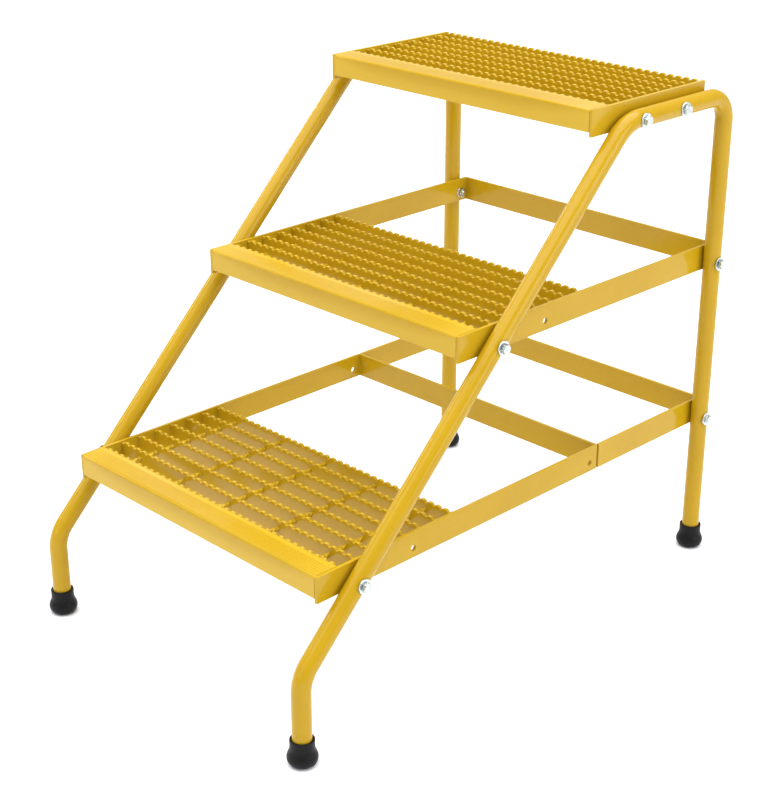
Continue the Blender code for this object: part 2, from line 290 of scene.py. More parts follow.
@dataclass(frozen=True)
class PowderCoat:
    """Baked yellow powder coat: satin, a little wavy, thinner on sharp edges, with painted shade in its
    hollows and a painted highlight on the grating's crests.
    """

    name: str = "yellow_powder_coat"
    colour: Colour = (0.432, 0.262, 0.0060)
    pale: Colour = (0.530, 0.342, 0.022)  # where it is thin, and on the crests as a painted highlight
    # deeper tone of the coat's random clouds, and the colour of the painted shade in its hollows
    deep_tone_and_shade: Colour = (0.408, 0.242, 0.0045)
    roughness: float = 0.13
    haze: float = 0.05  # roughness that smudges add
    polish: float = 0.02  # roughness taken away on the crests, under their painted highlight
    specular: float = 0.22
    cloud_size: float = 0.14
    mottle_size: float = 0.012
    smudge_size: float = 0.045
    peel_size: float = 0.0016
    peel_depth: float = 0.000016
    wave_size: float = 0.011
    wave_depth: float = 0.00004
    edge_bulge: Span = (0.515, 0.60)
    edge_wear: float = 0.75
    crest_highlight: float = 0.6
    hollow_shade_bulge: Span = (0.40, 0.49)
    hollow_shade_depth: float = 0.45

    def make(self) -> bpy.types.Material:
        """Builds the material."""
        graph = ShaderGraph(self.name)
        cloud = graph.noise(self.cloud_size, 3.0).between(0.36, 0.64)
        mottle = graph.noise(self.mottle_size, 2.0).between(0.30, 0.70)
        body = graph.blend(0.65 * cloud + 0.35 * mottle, self.deep_tone_and_shade, self.colour)
        edge = graph.convex().between(*self.edge_bulge)
        # painted highlight: the tops of the grating's crests are paled; sharp edges are paled too, where
        # the coat is thin
        crest_highlight_mask = graph.stored(CREST) * (0.55 + 0.45 * mottle)
        lightening = (self.edge_wear * edge + self.crest_highlight * crest_highlight_mask).clamped()
        colour = graph.blend(lightening, body, self.pale)
        # painted shade: concave creases and hollows are darkened towards the deep tone
        hollow_shade = 1.0 - graph.convex().between(*self.hollow_shade_bulge)
        colour = graph.blend(self.hollow_shade_depth * hollow_shade, colour, self.deep_tone_and_shade)
        smudge = graph.noise(self.smudge_size, 4.0, 0.6).between(0.42, 0.72)
        sheen = self.roughness + self.haze * smudge - self.polish * crest_highlight_mask
        peel = graph.noise(self.peel_size, 1.0)
        wave = graph.noise(self.wave_size, 1.0)
        rolling = graph.bump(wave, self.wave_depth)
        return graph.finish(
            Base_Color=colour,
            Roughness=sheen,
            Normal=graph.bump(peel, self.peel_depth, rolling),
            Specular_IOR_Level=self.specular,
        )


@dataclass(frozen=True)
class BrightZinc:
    """Zinc plate with a clear passivation, which gives it a faint cold tint."""

    name: str = "bright_zinc"
    colour: Colour = (0.56, 0.59, 0.575)
    cold: Colour = (0.46, 0.54, 0.54)
    warm: Colour = (0.58, 0.57, 0.50)
    roughness: float = 0.24
    dullness: float = 0.12  # roughness that scuffs add
    cold_size: float = 0.006
    warm_size: float = 0.0045
    scuff_size: float = 0.0025
    grain_size: float = 0.0004
    grain_depth: float = 0.000012

    def make(self) -> bpy.types.Material:
        """Builds the material."""
        graph = ShaderGraph(self.name)
        tint = graph.noise(self.cold_size, 2.0)
        cool = graph.blend(tint.between(0.45, 0.65), self.colour, self.cold)
        colour = graph.blend(graph.noise(self.warm_size, 1.0).between(0.56, 0.72), cool, self.warm)
        grain = graph.noise(self.grain_size, 3.0)
        scuff = graph.noise(self.scuff_size, 3.0).between(0.4, 0.7)
        return graph.finish(
            Base_Color=colour,
            Metallic=1.0,
            Roughness=self.roughness + self.dullness * scuff,
            Normal=graph.bump(grain, self.grain_depth),
        )


@dataclass(frozen=True)
class BlackRubber:
    """Moulded black rubber with a fine matt grain and a little bloom."""

    name: str = "black_rubber"
    colour: Colour = (0.0052, 0.0050, 0.0048)
    bloom: Colour = (0.0150, 0.0145, 0.0140)
    roughness: float = 0.42
    dullness: float = 0.16  # roughness that dust adds
    specular: float = 0.14
    dust_size: float = 0.007
    dust_cover: float = 0.5
    edge_bulge: Span = (0.53, 0.62)
    edge_wear: float = 0.35
    grain_size: float = 0.0006
    grain_depth: float = 0.00004

    def make(self) -> bpy.types.Material:
        """Builds the material."""
        graph = ShaderGraph(self.name)
        dust = graph.noise(self.dust_size, 4.0, 0.6).between(0.5, 0.8)
        edge = graph.convex().between(*self.edge_bulge)
        bloomed = (self.dust_cover * dust + self.edge_wear * edge).clamped()
        colour = graph.blend(bloomed, self.colour, self.bloom)
        grain = graph.noise(self.grain_size, 2.0)
        return graph.finish(
            Base_Color=colour,
            Roughness=self.roughness + self.dullness * dust,
            Specular_IOR_Level=self.specular,
            Normal=graph.bump(grain, self.grain_depth),
        )


@dataclass(frozen=True)
class StudioFloor:
    """Matt pale paint of the studio's floor."""

    name: str = "studio_floor"
    colour: Colour = (0.90, 0.90, 0.90)
    low: Colour = (0.885, 0.885, 0.885)
    cloud_size: float = 0.8
    roughness: float = 0.9
    glow_start: float = 1.2  # how far from the stand's middle the floor starts to glow
    glow_end: float = 5.0
    glow: float = 0.34

    def make(self) -> bpy.types.Material:
        """Builds the material."""
        graph = ShaderGraph(self.name)
        cloud = graph.noise(self.cloud_size, 2.0).between(0.4, 0.6)
        distance = graph.node(
            "ShaderNodeVectorMath", {"operation": "LENGTH"}, {0: graph.place()}, "Value"
        )
        return graph.finish(
            Base_Color=graph.blend(cloud, self.low, self.colour),
            Roughness=self.roughness,
            Specular_IOR_Level=0.0,
            Emission_Color=distance.between(self.glow_start, self.glow_end),
            Emission_Strength=self.glow,
        )


@dataclass
class Finishes:
    """The materials that the pieces share."""

    coat: bpy.types.Material
    zinc: bpy.types.Material
    rubber: bpy.types.Material
    floor: bpy.types.Material

    @classmethod
    def make(cls) -> "Finishes":
        """Builds them all."""
        return cls(
            coat=PowderCoat().make(),
            zinc=BrightZinc().make(),
            rubber=BlackRubber().make(),
            floor=StudioFloor().make(),
        )


# ----------------------------------------------------------------- mesh making


@dataclass
class Skin:
    """Points and faces of one mesh while it is being shaped."""

    points: list[Vector] = field(default_factory=list)
    faces: list[tuple[int, ...]] = field(default_factory=list)
    crests: dict[int, float] = field(default_factory=dict)

    def loft(self, rings: Sequence[Ring], is_loop: bool = False) -> list[int]:
        """Joins rings of equal size with faces.

        Args:
            rings: closed rings of points, in order.
            is_loop: whether the last ring joins the first; if not, both ends are capped.

        Returns:
            The number of each ring's first point.
        """
        starts = []
        for ring in rings:
            starts.append(len(self.points))
            self.points.extend(ring)
        count = len(rings[0])
        pairs = list(zip(starts, starts[1:]))
        if is_loop:
            pairs.append((starts[-1], starts[0]))
        for here, there in pairs:
            for step in range(count):
                onward = (step + 1) % count
                self.faces.append((here + step, here + onward, there + onward, there + step))
        if not is_loop:
            self.faces.append(tuple(reversed(range(starts[0], starts[0] + count))))
            self.faces.append(tuple(range(starts[-1], starts[-1] + count)))
        return starts

    def turn(self, profile: Sequence[Spot], steps: int) -> None:
        """Turns a closed profile about the Z axis.

        Args:
            profile: radius and height of each point. Its ends may lie on the axis.
            steps: how many points go round.
        """
        rings = []
        for radius, height in profile:
            spread = max(radius, TINY)
            angles = (math.tau * step / steps for step in range(steps))
            rings.append([Vector((spread * math.cos(a), spread * math.sin(a), height)) for a in angles])
        self.loft(rings)

    def moved(self, place: Matrix) -> "Skin":
        """The same mesh elsewhere."""
        return Skin([place @ point for point in self.points], list(self.faces), dict(self.crests))

    def piece(
        self, name: str, material: bpy.types.Material, smooth: float = EDGE_ANGLE
    ) -> bpy.types.Object:
        """Makes the object.

        Args:
            name: the piece's name.
            material: its finish.
            smooth: edges that turn by more than this many degrees stay sharp.

        Returns:
            The new object.
        """
        mesh = bpy.data.meshes.new(name)
        mesh.from_pydata(self.points, [], self.faces)
        if self.crests:
            stored = mesh.attributes.new(CREST, "FLOAT", "POINT")
            values = [self.crests.get(number, 0.0) for number in range(len(self.points))]
            stored.data.foreach_set("value", values)
        mesh.validate()
        mesh.materials.append(material)
        made = bpy.data.objects.new(name, mesh)
        bpy.context.scene.collection.objects.link(made)
        face_outwards(mesh)
        smooth_piece(made, smooth)
        return made


def face_outwards(mesh: bpy.types.Mesh) -> None:
    """Turns every face of a closed mesh outwards.

    Args:
        mesh: the mesh, which is changed.
    """
    work = bmesh.new()
    work.from_mesh(mesh)
    bmesh.ops.remove_doubles(work, verts=work.verts, dist=WELD)
    bmesh.ops.recalc_face_normals(work, faces=work.faces)
    work.to_mesh(mesh)
    work.free()


def smooth_piece(piece: bpy.types.Object, angle: float) -> None:
    """Shades a piece smooth with flat faces kept flat.

    Args:
        piece: the object.
        angle: edges that turn by more than this many degrees stay sharp.
    """
    piece.data.shade_smooth()
    piece.data.set_sharp_from_angle(angle=math.radians(angle))
    weigh = piece.modifiers.new("flat_faces_stay_flat", "WEIGHTED_NORMAL")
    weigh.keep_sharp = True


def fit(piece: bpy.types.Object, slot: Slot, *nodes: str) -> bpy.types.Object:
    """Puts a piece on the stand in place of CAD nodes.

    Args:
        piece: the object.
        slot: the record's material slot; not used.
        nodes: the nodes it stands for.

    Returns:
        The piece.
    """
    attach(piece, "root")
    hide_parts(*nodes)
    LOG.info("%s: %d faces", piece.name, len(piece.data.polygons))
    return piece


def arc(middle: Spot, radius: float, start: float, end: float, steps: int) -> list[Spot]:
    """Points on an arc.

    Args:
        middle: its centre.
        radius: its radius.
        start: first angle in degrees.
        end: last angle in degrees.
        steps: how many pieces it has.

    Returns:
        The points, both ends included.
    """
    angles = (math.radians(start + (end - start) * step / steps) for step in range(steps + 1))
    return [(middle[0] + radius * math.cos(a), middle[1] + radius * math.sin(a)) for a in angles]


def rounded_box(low: Spot, high: Spot, radius: float, steps: int) -> list[Spot]:
    """A rectangle with round corners.

    Args:
        low: its lowest corner.
        high: its highest corner.
        radius: of the corners.
        steps: how many pieces each corner has.

    Returns:
        Its outline, anticlockwise.
    """
    (x0, y0), (x1, y1) = low, high
    return [
        *arc((x1 - radius, y0 + radius), radius, -90, 0, steps),
        *arc((x1 - radius, y1 - radius), radius, 0, 90, steps),
        *arc((x0 + radius, y1 - radius), radius, 90, 180, steps),
        *arc((x0 + radius, y0 + radius), radius, 180, 270, steps),
    ]


def cut(piece: bpy.types.Object, cutter: Skin) -> None:
    """Cuts one mesh out of another and keeps the result as the piece's own mesh.

    Args:
        piece: the object.
        cutter: what is taken away.
    """
    tool = cutter.piece("cutter", piece.data.materials[0])
    step = piece.modifiers.new("cut", "BOOLEAN")
    step.operation = "DIFFERENCE"
    step.solver = "EXACT"
    step.use_self = True
    step.object = tool
    while piece.modifiers[0] != step:
        piece.modifiers.move(piece.modifiers.find(step.name), 0)
    for other in piece.modifiers:
        other.show_viewport = other == step
    settled = bpy.data.meshes.new_from_object(
        piece.evaluated_get(bpy.context.evaluated_depsgraph_get())
    )
    old = piece.data
    settled.name = piece.name
    piece.modifiers.remove(step)
    piece.data = settled
    for other in piece.modifiers:
        other.show_viewport = True
    bpy.data.meshes.remove(old)
    bpy.data.objects.remove(tool)
    settled.shade_smooth()
    settled.set_sharp_from_angle(angle=math.radians(EDGE_ANGLE))


def eased_holes(
    places: Iterable[Vector], radius: float, inner: float, outer: float, easing: float
) -> Skin:
    """Cutters along X for round holes whose rims are eased.

    Args:
        places: the holes' centres; only y and z count, and the sign of x.
        radius: of the holes.
        inner: |x| of the inner face.
        outer: |x| of the outer face.
        easing: how wide the eased rim is.

    Returns:
        All the cutters as one mesh.
    """
    steps = 24
    beyond, flare = 0.0008, 0.00048  # how far a cutter stands out of a face, and widens there
    depth, width = easing * 0.4, easing * 0.35  # of the middle of the eased rim
    rim = [(-beyond, easing + flare), (0.0, easing), (depth, width), (easing, 0.0)]
    profile = [(inner + x, radius + wider) for x, wider in rim]
    profile += [(outer - x, radius + wider) for x, wider in reversed(rim)]
    made = Skin()
    for place in places:
        side = math.copysign(1.0, place.x)
        rings = []
        for x, reach in profile:
            circle = [(reach * y, reach * z) for y, z in round_outline(steps)]
            rings.append([Vector((side * x, place.y + y, place.z + z)) for y, z in circle])
        made.loft(rings)
    return made


def round_outline(steps: int, radius: float = 1.0) -> list[Spot]:
    """Points round a circle.

    Args:
        steps: how many there are.
        radius: of the circle.

    Returns:
        The points, anticlockwise.
    """
    angles = (math.tau * step / steps for step in range(steps))
    return [(radius * math.cos(a), radius * math.sin(a)) for a in angles]


# ----------------------------------------------------------------- side frames


@dataclass
class SideFrame:
    """One bent round tube, from the front foot over the top to the rear foot."""

    side: Side
    radius: float = 0.01335
    wall: float = 0.0017
    lower_bend: float = 0.052
    upper_bend: float = 0.068
    rear_bend: float = 0.038
    flattening: float = 0.022  # share by which a bend is pressed flat
    round_steps: int = 40
    widening: float = 0.3  # share of the flattening by which it gets wider
    fade_in: float = 0.25  # share of a bend over which the flattening comes and goes
    degrees_a_ring: float = 3.0
    straight_step: float = 0.03
    hole_radius: float = 0.0044
    hole_easing: float = 0.0001
    end_easing: float = 0.0004
    cutter_reach: float = 0.002

    @property
    def node(self) -> str:
        """The CAD node that this tube replaces."""
        return f"side_frame_{self.side.label}"

    def corners(self) -> list[Vector]:
        """The centre line's corners as (y, z), from the front foot to the rear foot."""
        low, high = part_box(self.node)
        front, rear = low.y + self.radius, high.y - self.radius
        top = high.z - self.radius
        first = centre_of(f"{self.side.label}_lower_front_bolt")
        second = centre_of(f"{self.side.label}_middle_front_bolt")
        slope = (second.z - first.z) / (second.y - first.y)
        knee = first.z + slope * (front - first.y)
        shoulder = first.y + (top - first.z) / slope
        return [
            Vector((front, low.z)),
            Vector((front, knee)),
            Vector((shoulder, top)),
            Vector((rear, top)),
            Vector((rear, low.z)),
        ]

    def centre_line(self) -> list[LinePoint]:
        """Points along the centre line, as (y, z), bent from 0 to 1.

        Returns:
            The points in order from the front foot to the rear one.
        """
        corners = self.corners()
        line: list[LinePoint] = []
        bends = (self.lower_bend, self.upper_bend, self.rear_bend)
        here = corners[0]
        for before, corner, after, radius in zip(corners, corners[1:], corners[2:], bends):
            back, onward = (before - corner).normalized(), (after - corner).normalized()
            half = back.angle(onward) / 2
            reach = radius / math.tan(half)
            start = corner + back * reach
            middle = corner + (back + onward).normalized() * radius / math.sin(half)
            self._add_straight(line, here, start)
            turned = -back
            spoke = start - middle
            whole = turned.angle_signed(onward)
            steps = max(4, round(abs(math.degrees(whole)) / self.degrees_a_ring))
            for step in range(steps + 1):
                share = step / steps
                spin = Matrix.Rotation(-whole * share, 2)
                bent = min(1.0, share / self.fade_in, (1 - share) / self.fade_in)
                line.append((middle + spin @ spoke, spin @ turned, bent))
            here = corner + onward * reach
        self._add_straight(line, here, corners[-1])
        return line

    def _add_straight(self, line: list[LinePoint], start: Vector, end: Vector) -> None:
        """Adds the points of a straight run, after the point that the line ends with.

        Args:
            line: the centre line so far, which grows.
            start: where the run starts.
            end: where it ends.
        """
        run = end - start
        steps = max(2, round(run.length / self.straight_step))
        for step in range(1 if line else 0, steps + 1):
            line.append((start + run * step / steps, run.normalized(), 0.0))

    def build(self, finishes: Finishes) -> bpy.types.Object:
        """Shapes and fits the tube."""
        low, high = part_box(self.node)
        x = (low.x + high.x) / 2
        line = merged_line(self.centre_line())
        outside = [self._ring(x, *point, self.radius) for point in line]
        bore = [self._ring(x, *point, self.radius - self.wall) for point in line]
        (first, way_in, _), (last, way_out, _) = line[0], line[-1]
        narrow, eased = self.radius - self.end_easing, self.end_easing
        outside[0] = self._ring(x, first + way_in * eased, way_in, 0.0, self.radius)
        outside[-1] = self._ring(x, last - way_out * eased, way_out, 0.0, self.radius)
        start = self._ring(x, first, way_in, 0.0, narrow)
        end = self._ring(x, last, way_out, 0.0, narrow)
        skin = Skin()
        skin.loft([start, *outside, end, *reversed(bore)], is_loop=True)
        tube = skin.piece(f"{self.node}_tube", finishes.coat, ROUND_ANGLE)
        reach = self.radius + self.cutter_reach
        near, far = abs(x) - reach, abs(x) + reach
        cut(tube, eased_holes(bolt_centres(self.side), self.hole_radius, near, far, self.hole_easing))
        return fit(tube, Slot.COAT, self.node)

    def _ring(self, x: float, centre: Vector, along: Vector, bent: float, radius: float) -> Ring:
        """One ring of the tube, pressed flat in the plane of the bend.

        Args:
            x: of the tube.
            centre: the ring's middle as (y, z).
            along: the direction of the tube there.
            bent: how far it is bent, from 0 to 1.
            radius: of the ring where the tube is straight.

        Returns:
            The ring.
        """
        across = Vector((-along.y, along.x))
        pressed = self.flattening * bent
        flat, wide = radius * (1 - pressed), radius * (1 + self.widening * pressed)
        ring = []
        for step in range(self.round_steps):
            angle = math.tau * (step + 0.5) / self.round_steps
            out = centre + across * (flat * math.cos(angle))
            ring.append(Vector((x + wide * math.sin(angle), out.x, out.y)))
        return ring


def merged_line(line: list[LinePoint]) -> list[LinePoint]:
    """The same centre line without points that lie on the one before.

    Args:
        line: the centre line.

    Returns:
        The points that are left.
    """
    kept = line[:1]
    for point in line[1:]:
        if (point[0] - kept[-1][0]).length > SAME_PLACE:
            kept.append(point)
    return kept


def centre_of(node: str) -> Vector:
    """The middle of a CAD node's box."""
    low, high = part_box(node)
    return (low + high) / 2


FIRST_TURN, TURN_STEP, SIDE_TURN = 0.2, 0.37, 0.5  # radians by which bolt heads are turned
BOLT_PLACES = ("lower_front", "lower_rear", "middle_front", "middle_rear", "upper_front", "upper_rear")


def bolt_centres(side: Side, start: str = "") -> list[Vector]:
    """Where one side's bolts are.

    Args:
        side: the stand's side.
        start: only the bolts whose place starts so.

    Returns:
        A point on each bolt's axis.
    """
    return [
        centre_of(f"{side.label}_{place}_bolt") for place in BOLT_PLACES if place.startswith(start)
    ]


# ------------------------------------------------------------------- flat bars

END_STOPS = ((0.0, 1.0), (0.3, 0.3), (1.0, 0.0))  # from a bar's end and in from its faces, in easings
CORNER_STEPS = 3
RIM_EASING = 0.0005  # of a punched hole
SPARE_HOLE = 0.1735  # from a tread frame's front end
REAR_HOLE = 0.543


@dataclass
class FlatBarFrame:
    """A flat bar bent into a U that is open at the front, with eased edges and punched holes."""

    node: str
    hole_level: str
    spare_holes: tuple[float, ...] = ()  # from the bar's front end
    hole_like: str = "lower_front"  # the bolt that sets the holes' height
    thickness: float = 0.0048
    bend_outside: float = 0.0056
    easing: float = 0.0007
    hole_radius: float = 0.0044
    bend_steps: int = 10
    side_rings: tuple[float, ...] = (0.33, 0.66)  # where rings stand on a side, as shares of it

    def line(self) -> list[tuple[Vector, Vector]]:
        """Points on the bar's centre line in plan, and the direction across it at each.

        Returns:
            The points in order from the right end round to the left one.
        """
        low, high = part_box(self.node)
        half = self.thickness / 2
        radius = self.bend_outside - half
        side = high.x - half
        turn = Vector((side - radius, high.y - half - radius))
        offsets = [self.easing * along for along, _ in END_STOPS]
        offsets += [(turn.y - low.y) * share for share in self.side_rings]
        right = [(Vector((side, low.y + offset)), Vector((1, 0))) for offset in offsets]
        for x, y in arc((0, 0), 1, 0, 90, self.bend_steps):
            right.append((turn + Vector((x, y)) * radius, Vector((x, y))))
        left = [(Vector((-p.x, p.y)), Vector((-n.x, n.y))) for p, n in reversed(right)]
        return [*right, *left]

    def build(self, finishes: Finishes) -> bpy.types.Object:
        """Shapes and fits the frame."""
        low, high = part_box(self.node)
        line = self.line()
        insets = [self.easing * inwards for _, inwards in END_STOPS]
        rings = []
        for number, (point, across) in enumerate(line):
            edge = min(number, len(line) - 1 - number)
            inset = insets[edge] if edge < len(insets) else 0.0
            section = rounded_box(
                (-self.thickness / 2 + inset, low.z + inset),
                (self.thickness / 2 - inset, high.z - inset),
                self.easing,
                CORNER_STEPS,
            )
            rings.append([Vector((*(point + across * u), z)) for u, z in section])
        skin = Skin()
        skin.loft(rings)
        bar = skin.piece(f"{self.node}_bar", finishes.coat)
        height = centre_of(f"right_{self.hole_like}_bolt").z
        places = []
        for side in Side:
            places += [p for p in bolt_centres(side, self.hole_level) if low.y < p.y < high.y]
            places += [Vector((side.value, low.y + offset, height)) for offset in self.spare_holes]
        cut(bar, eased_holes(places, self.hole_radius, high.x - self.thickness, high.x, RIM_EASING))
        return fit(bar, Slot.COAT, self.node)


@dataclass
class TreadPlate:
    """The top tread's own side bar."""

    side: Side
    easing: float = 0.0007
    hole_radius: float = 0.0044

    def build(self, finishes: Finishes) -> bpy.types.Object:
        """Shapes and fits the plate."""
        node = f"top_tread_plate_{self.side.label}"
        low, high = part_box(node)
        ends = [(self.easing * along, self.easing * inwards) for along, inwards in END_STOPS]
        stops = [(low.y + along, inset) for along, inset in ends]
        stops += [(high.y - along, inset) for along, inset in reversed(ends)]
        rings = []
        for y, inset in stops:
            corner, opposite = (low.x + inset, low.z + inset), (high.x - inset, high.z - inset)
            section = rounded_box(corner, opposite, self.easing, CORNER_STEPS)
            rings.append([Vector((x, y, z)) for x, z in section])
        skin = Skin()
        skin.loft(rings)
        plate = skin.piece(f"{node}_bar", finishes.coat)
        inner, outer = sorted((abs(low.x), abs(high.x)))
        places = bolt_centres(self.side, "upper")
        cut(plate, eased_holes(places, self.hole_radius, inner, outer, RIM_EASING))
        return fit(plate, Slot.COAT, node)


# ---------------------------------------------------------------------- treads


@dataclass
class Nosing:
    """The folded front edge of a tread, with anti-slip ribs rolled into its top."""

    level: Level
    wall: float = 0.0030
    lip: float = 0.0040
    rib_pitch: float = 0.00476
    groove_count: int = 6
    first_groove: float = 0.0053  # from the front face to the middle of the first groove
    groove_width: float = 0.0019
    groove_depth: float = 0.0005
    groove_flatness: float = 0.8  # the lower, the flatter a groove's floor
    points_a_groove: int = 9
    flange_share: float = 0.5  # height of the folded rear edge, as a share of the front's
    inner_lip: float = 0.0006  # how much further in the lip's inside bends
    easing: float = 0.0005
    ring_count: int = 9

    def groove_line(self) -> list[Spot]:
        """The grooved part of the top as (y, z), z from the top.

        Returns:
            The points from front to back.
        """
        made = []
        for groove in range(self.groove_count):
            middle = self.first_groove + groove * self.rib_pitch
            for step in range(self.points_a_groove):
                share = 2 * step / (self.points_a_groove - 1) - 1
                hump = 0.5 + 0.5 * math.cos(math.pi * share)
                depth = self.groove_depth * hump**self.groove_flatness
                made.append((middle + share * self.groove_width / 2, -depth))
        return made

    def section(self, depth: float, height: float) -> list[Spot]:
        """The nosing's section as (y, z), from its front face and its top.

        Args:
            depth: front to back.
            height: of the front face.

        Returns:
            The outline.
        """
        foot, wall = self.easing, self.wall
        flange = height * self.flange_share
        inside = self.lip + self.inner_lip
        return [
            *arc((foot, -height + foot), foot, 270, 180, 3),
            *arc((self.lip, -self.lip), self.lip, 180, 90, 8),
            *self.groove_line(),
            *arc((depth - foot, -foot), foot, 90, 0, 3),
            *arc((depth - foot, -flange + foot), foot, 0, -90, 3),
            *arc((depth - wall + foot, -flange + foot), foot, 270, 180, 3),
            (depth - wall, -wall - foot),
            (depth - wall - foot, -wall),
            *arc((inside, -inside), inside - wall, 90, 180, 4),
            (wall, -height + foot),
            (wall - foot, -height),
        ]

    def build(self, finishes: Finishes) -> bpy.types.Object:
        """Shapes and fits the nosing."""
        node = f"{self.level.value}_nosing"
        low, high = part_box(node)
        section = self.section(high.y - low.y, high.z - low.z)
        rings = []
        for step in range(self.ring_count):
            x = low.x + (high.x - low.x) * step / (self.ring_count - 1)
            rings.append([Vector((x, low.y + y, high.z + z)) for y, z in section])
        skin = Skin()
        skin.loft(rings)
        return fit(skin.piece(f"{node}_ribbed", finishes.coat, ROUND_ANGLE), Slot.COAT, node)


@dataclass
class SerratedGrating:
    """Serrated bearing bars with twisted cross rods forged into them."""

    level: Level
    bar_count: int = 8
    bar_pitch: float = 0.0302
    thickness: float = 0.0048
    tooth_pitch: float = 0.0140
    tooth_place: float = -0.0012  # x of one tooth's crest
    notch_depth: float = 0.0032
    crest_sag: float = 0.00045
    crest_half: float = 0.0029
    notch_half: float = 0.0016
    edge_radius: float = 0.0010
    foot_radius: float = 0.0005
    samples: int = 14  # a tooth
    highlight_reach: float = 1.6  # how far the crests' painted highlight goes down a crest, in sags
    sharp_angle: float = 60.0
    rod_count: int = 5
    rod_pitch: float = 0.1016
    rod_off_centre: float = -0.0020
    rod_side: float = 0.0056
    rod_drop: float = 0.0142
    rod_twist: float = 0.0300  # length of a whole turn
    rod_corner: float = 0.0008
    rod_inset: float = 0.0008
    rod_step: float = 0.0014
    rod_swell: float = 0.28  # where it is forged into a bar
    rod_swell_reach: float = 0.0016
    bead_radius: float = 0.0019
    bead_foot: float = 0.002
    bead_head: float = 0.0075  # below the crests
    bead_sunk: Spot = (0.0004, 0.0003)  # off the bar's end and off its back
    bead_ripple: float = 0.14
    bead_ripples: int = 6
    bead_steps: int = 22
    bead_sides: int = 10

    def height(self, x: float) -> float:
        """How far the bars' top lies below the crests at x.

        Args:
            x: along the bar.

        Returns:
            The drop in metres.
        """
        offset = (x - self.tooth_place) / self.tooth_pitch
        away = abs(offset - round(offset)) * self.tooth_pitch
        crest = self.crest_sag * min(1.0, away / self.crest_half) ** 2
        floor = self.tooth_pitch / 2 - self.notch_half
        share = min(1.0, max(0.0, (away - self.crest_half) / (floor - self.crest_half)))
        fall = share * share * (3 - 2 * share)
        return crest + (self.notch_depth - self.crest_sag) * fall

    def build(self, finishes: Finishes) -> bpy.types.Object:
        """Shapes and fits the grating."""
        node = f"{self.level.value}_grating"
        low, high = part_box(node)
        skin = Skin()
        fronts = [low.y + bar * self.bar_pitch for bar in range(self.bar_count)]
        for front in fronts:
            self._add_bar(skin, low, high, front)
        for rod in range(self.rod_count):
            x = self.rod_off_centre + (rod - (self.rod_count - 1) / 2) * self.rod_pitch
            self._add_rod(skin, x, high.z - self.rod_drop, fronts, rod)
        for front in fronts:
            for x in (low.x, high.x):
                foot = Vector((x, front + self.thickness, low.z + self.bead_foot))
                self._add_bead(skin, foot, high.z - self.bead_head)
        return fit(skin.piece(f"{node}_bars", finishes.coat, self.sharp_angle), Slot.COAT, node)

    def _add_bar(self, skin: Skin, low: Vector, high: Vector, front: float) -> None:
        """Adds one serrated bar that starts at y = front.

        Args:
            skin: the mesh that it joins.
            low: the grating's lowest corner.
            high: its highest corner.
            front: y of the bar's front face.
        """
        count = round((high.x - low.x) / self.tooth_pitch * self.samples)
        back = front + self.thickness
        radius, small = self.edge_radius, self.foot_radius
        rings, drops = [], []
        for step in range(count + 1):
            x = low.x + (high.x - low.x) * step / count
            drop = self.height(x)
            drops.append(drop)
            top = high.z - drop
            section = [
                *arc((back - small, low.z + small), small, -90, 0, 2),
                *arc((back - radius, top - radius), radius, 0, 90, 4),
                *arc((front + radius, top - radius), radius, 90, 180, 4),
                *arc((front + small, low.z + small), small, 180, 270, 2),
            ]
            rings.append([Vector((x, y, z)) for y, z in section])
        on_top = range(4, 12)  # the section's points that lie on the rounded top
        # these crest values feed the coat's painted highlight
        for start, drop in zip(skin.loft(rings), drops):
            lightening = max(0.0, 1 - drop / (self.crest_sag * self.highlight_reach))
            for number in on_top:
                skin.crests[start + number] = lightening

    def _add_rod(self, skin: Skin, x: float, z: float, fronts: Sequence[float], rod: int) -> None:
        """Adds one twisted rod through all the bars.

        Args:
            skin: the mesh that it joins.
            x: of the rod.
            z: of the rod's middle.
            fronts: y of each bar's front face.
            rod: its number, which turns it a little further than the one before.
        """
        start, end = fronts[0] + self.rod_inset, fronts[-1] + self.thickness - self.rod_inset
        steps = round((end - start) / self.rod_step)
        half = self.rod_side / 2
        outline = rounded_box((-half, -half), (half, half), self.rod_corner, 2)
        faces = [y for front in fronts for y in (front, front + self.thickness)]
        rings = []
        for step in range(steps + 1):
            y = start + (end - start) * step / steps
            near = min(abs(y - face) for face in faces)
            swell = 1 + self.rod_swell * math.exp(-((near / self.rod_swell_reach) ** 2))
            angle = math.tau * (y - start) / self.rod_twist + rod
            c, s = math.cos(angle) * swell, math.sin(angle) * swell
            rings.append([Vector((x + u * c - v * s, y, z + u * s + v * c)) for u, v in outline])
        skin.loft(rings)

    def _add_bead(self, skin: Skin, foot: Vector, top: float) -> None:
        """Adds the weld at a bar's end, up its back from foot to the height top.

        Args:
            skin: the mesh that it joins.
            foot: where the weld starts.
            top: the height at which it ends.
        """
        inward, behind = self.bead_sunk
        middle = foot.x - math.copysign(inward, foot.x)
        rings = []
        for step in range(self.bead_steps + 1):
            share = step / self.bead_steps
            ripple = 1 + self.bead_ripple * math.sin(math.tau * share * self.bead_ripples)
            taper = math.sqrt(max(0.02, 1 - abs(2 * share - 1) ** 4))
            z = foot.z + (top - foot.z) * share
            ring = []
            for x, y in round_outline(self.bead_sides, self.bead_radius * ripple * taper):
                ring.append(Vector((clamp_inside(middle + x, foot.x), foot.y - behind + y, z)))
            rings.append(ring)
        skin.loft(rings)


def clamp_inside(x: float, wall: float) -> float:
    """x, kept on the middle's side of a wall that stands at x = wall."""
    return math.copysign(min(abs(x), abs(wall)), wall)


# ------------------------------------------------------------------------ feet


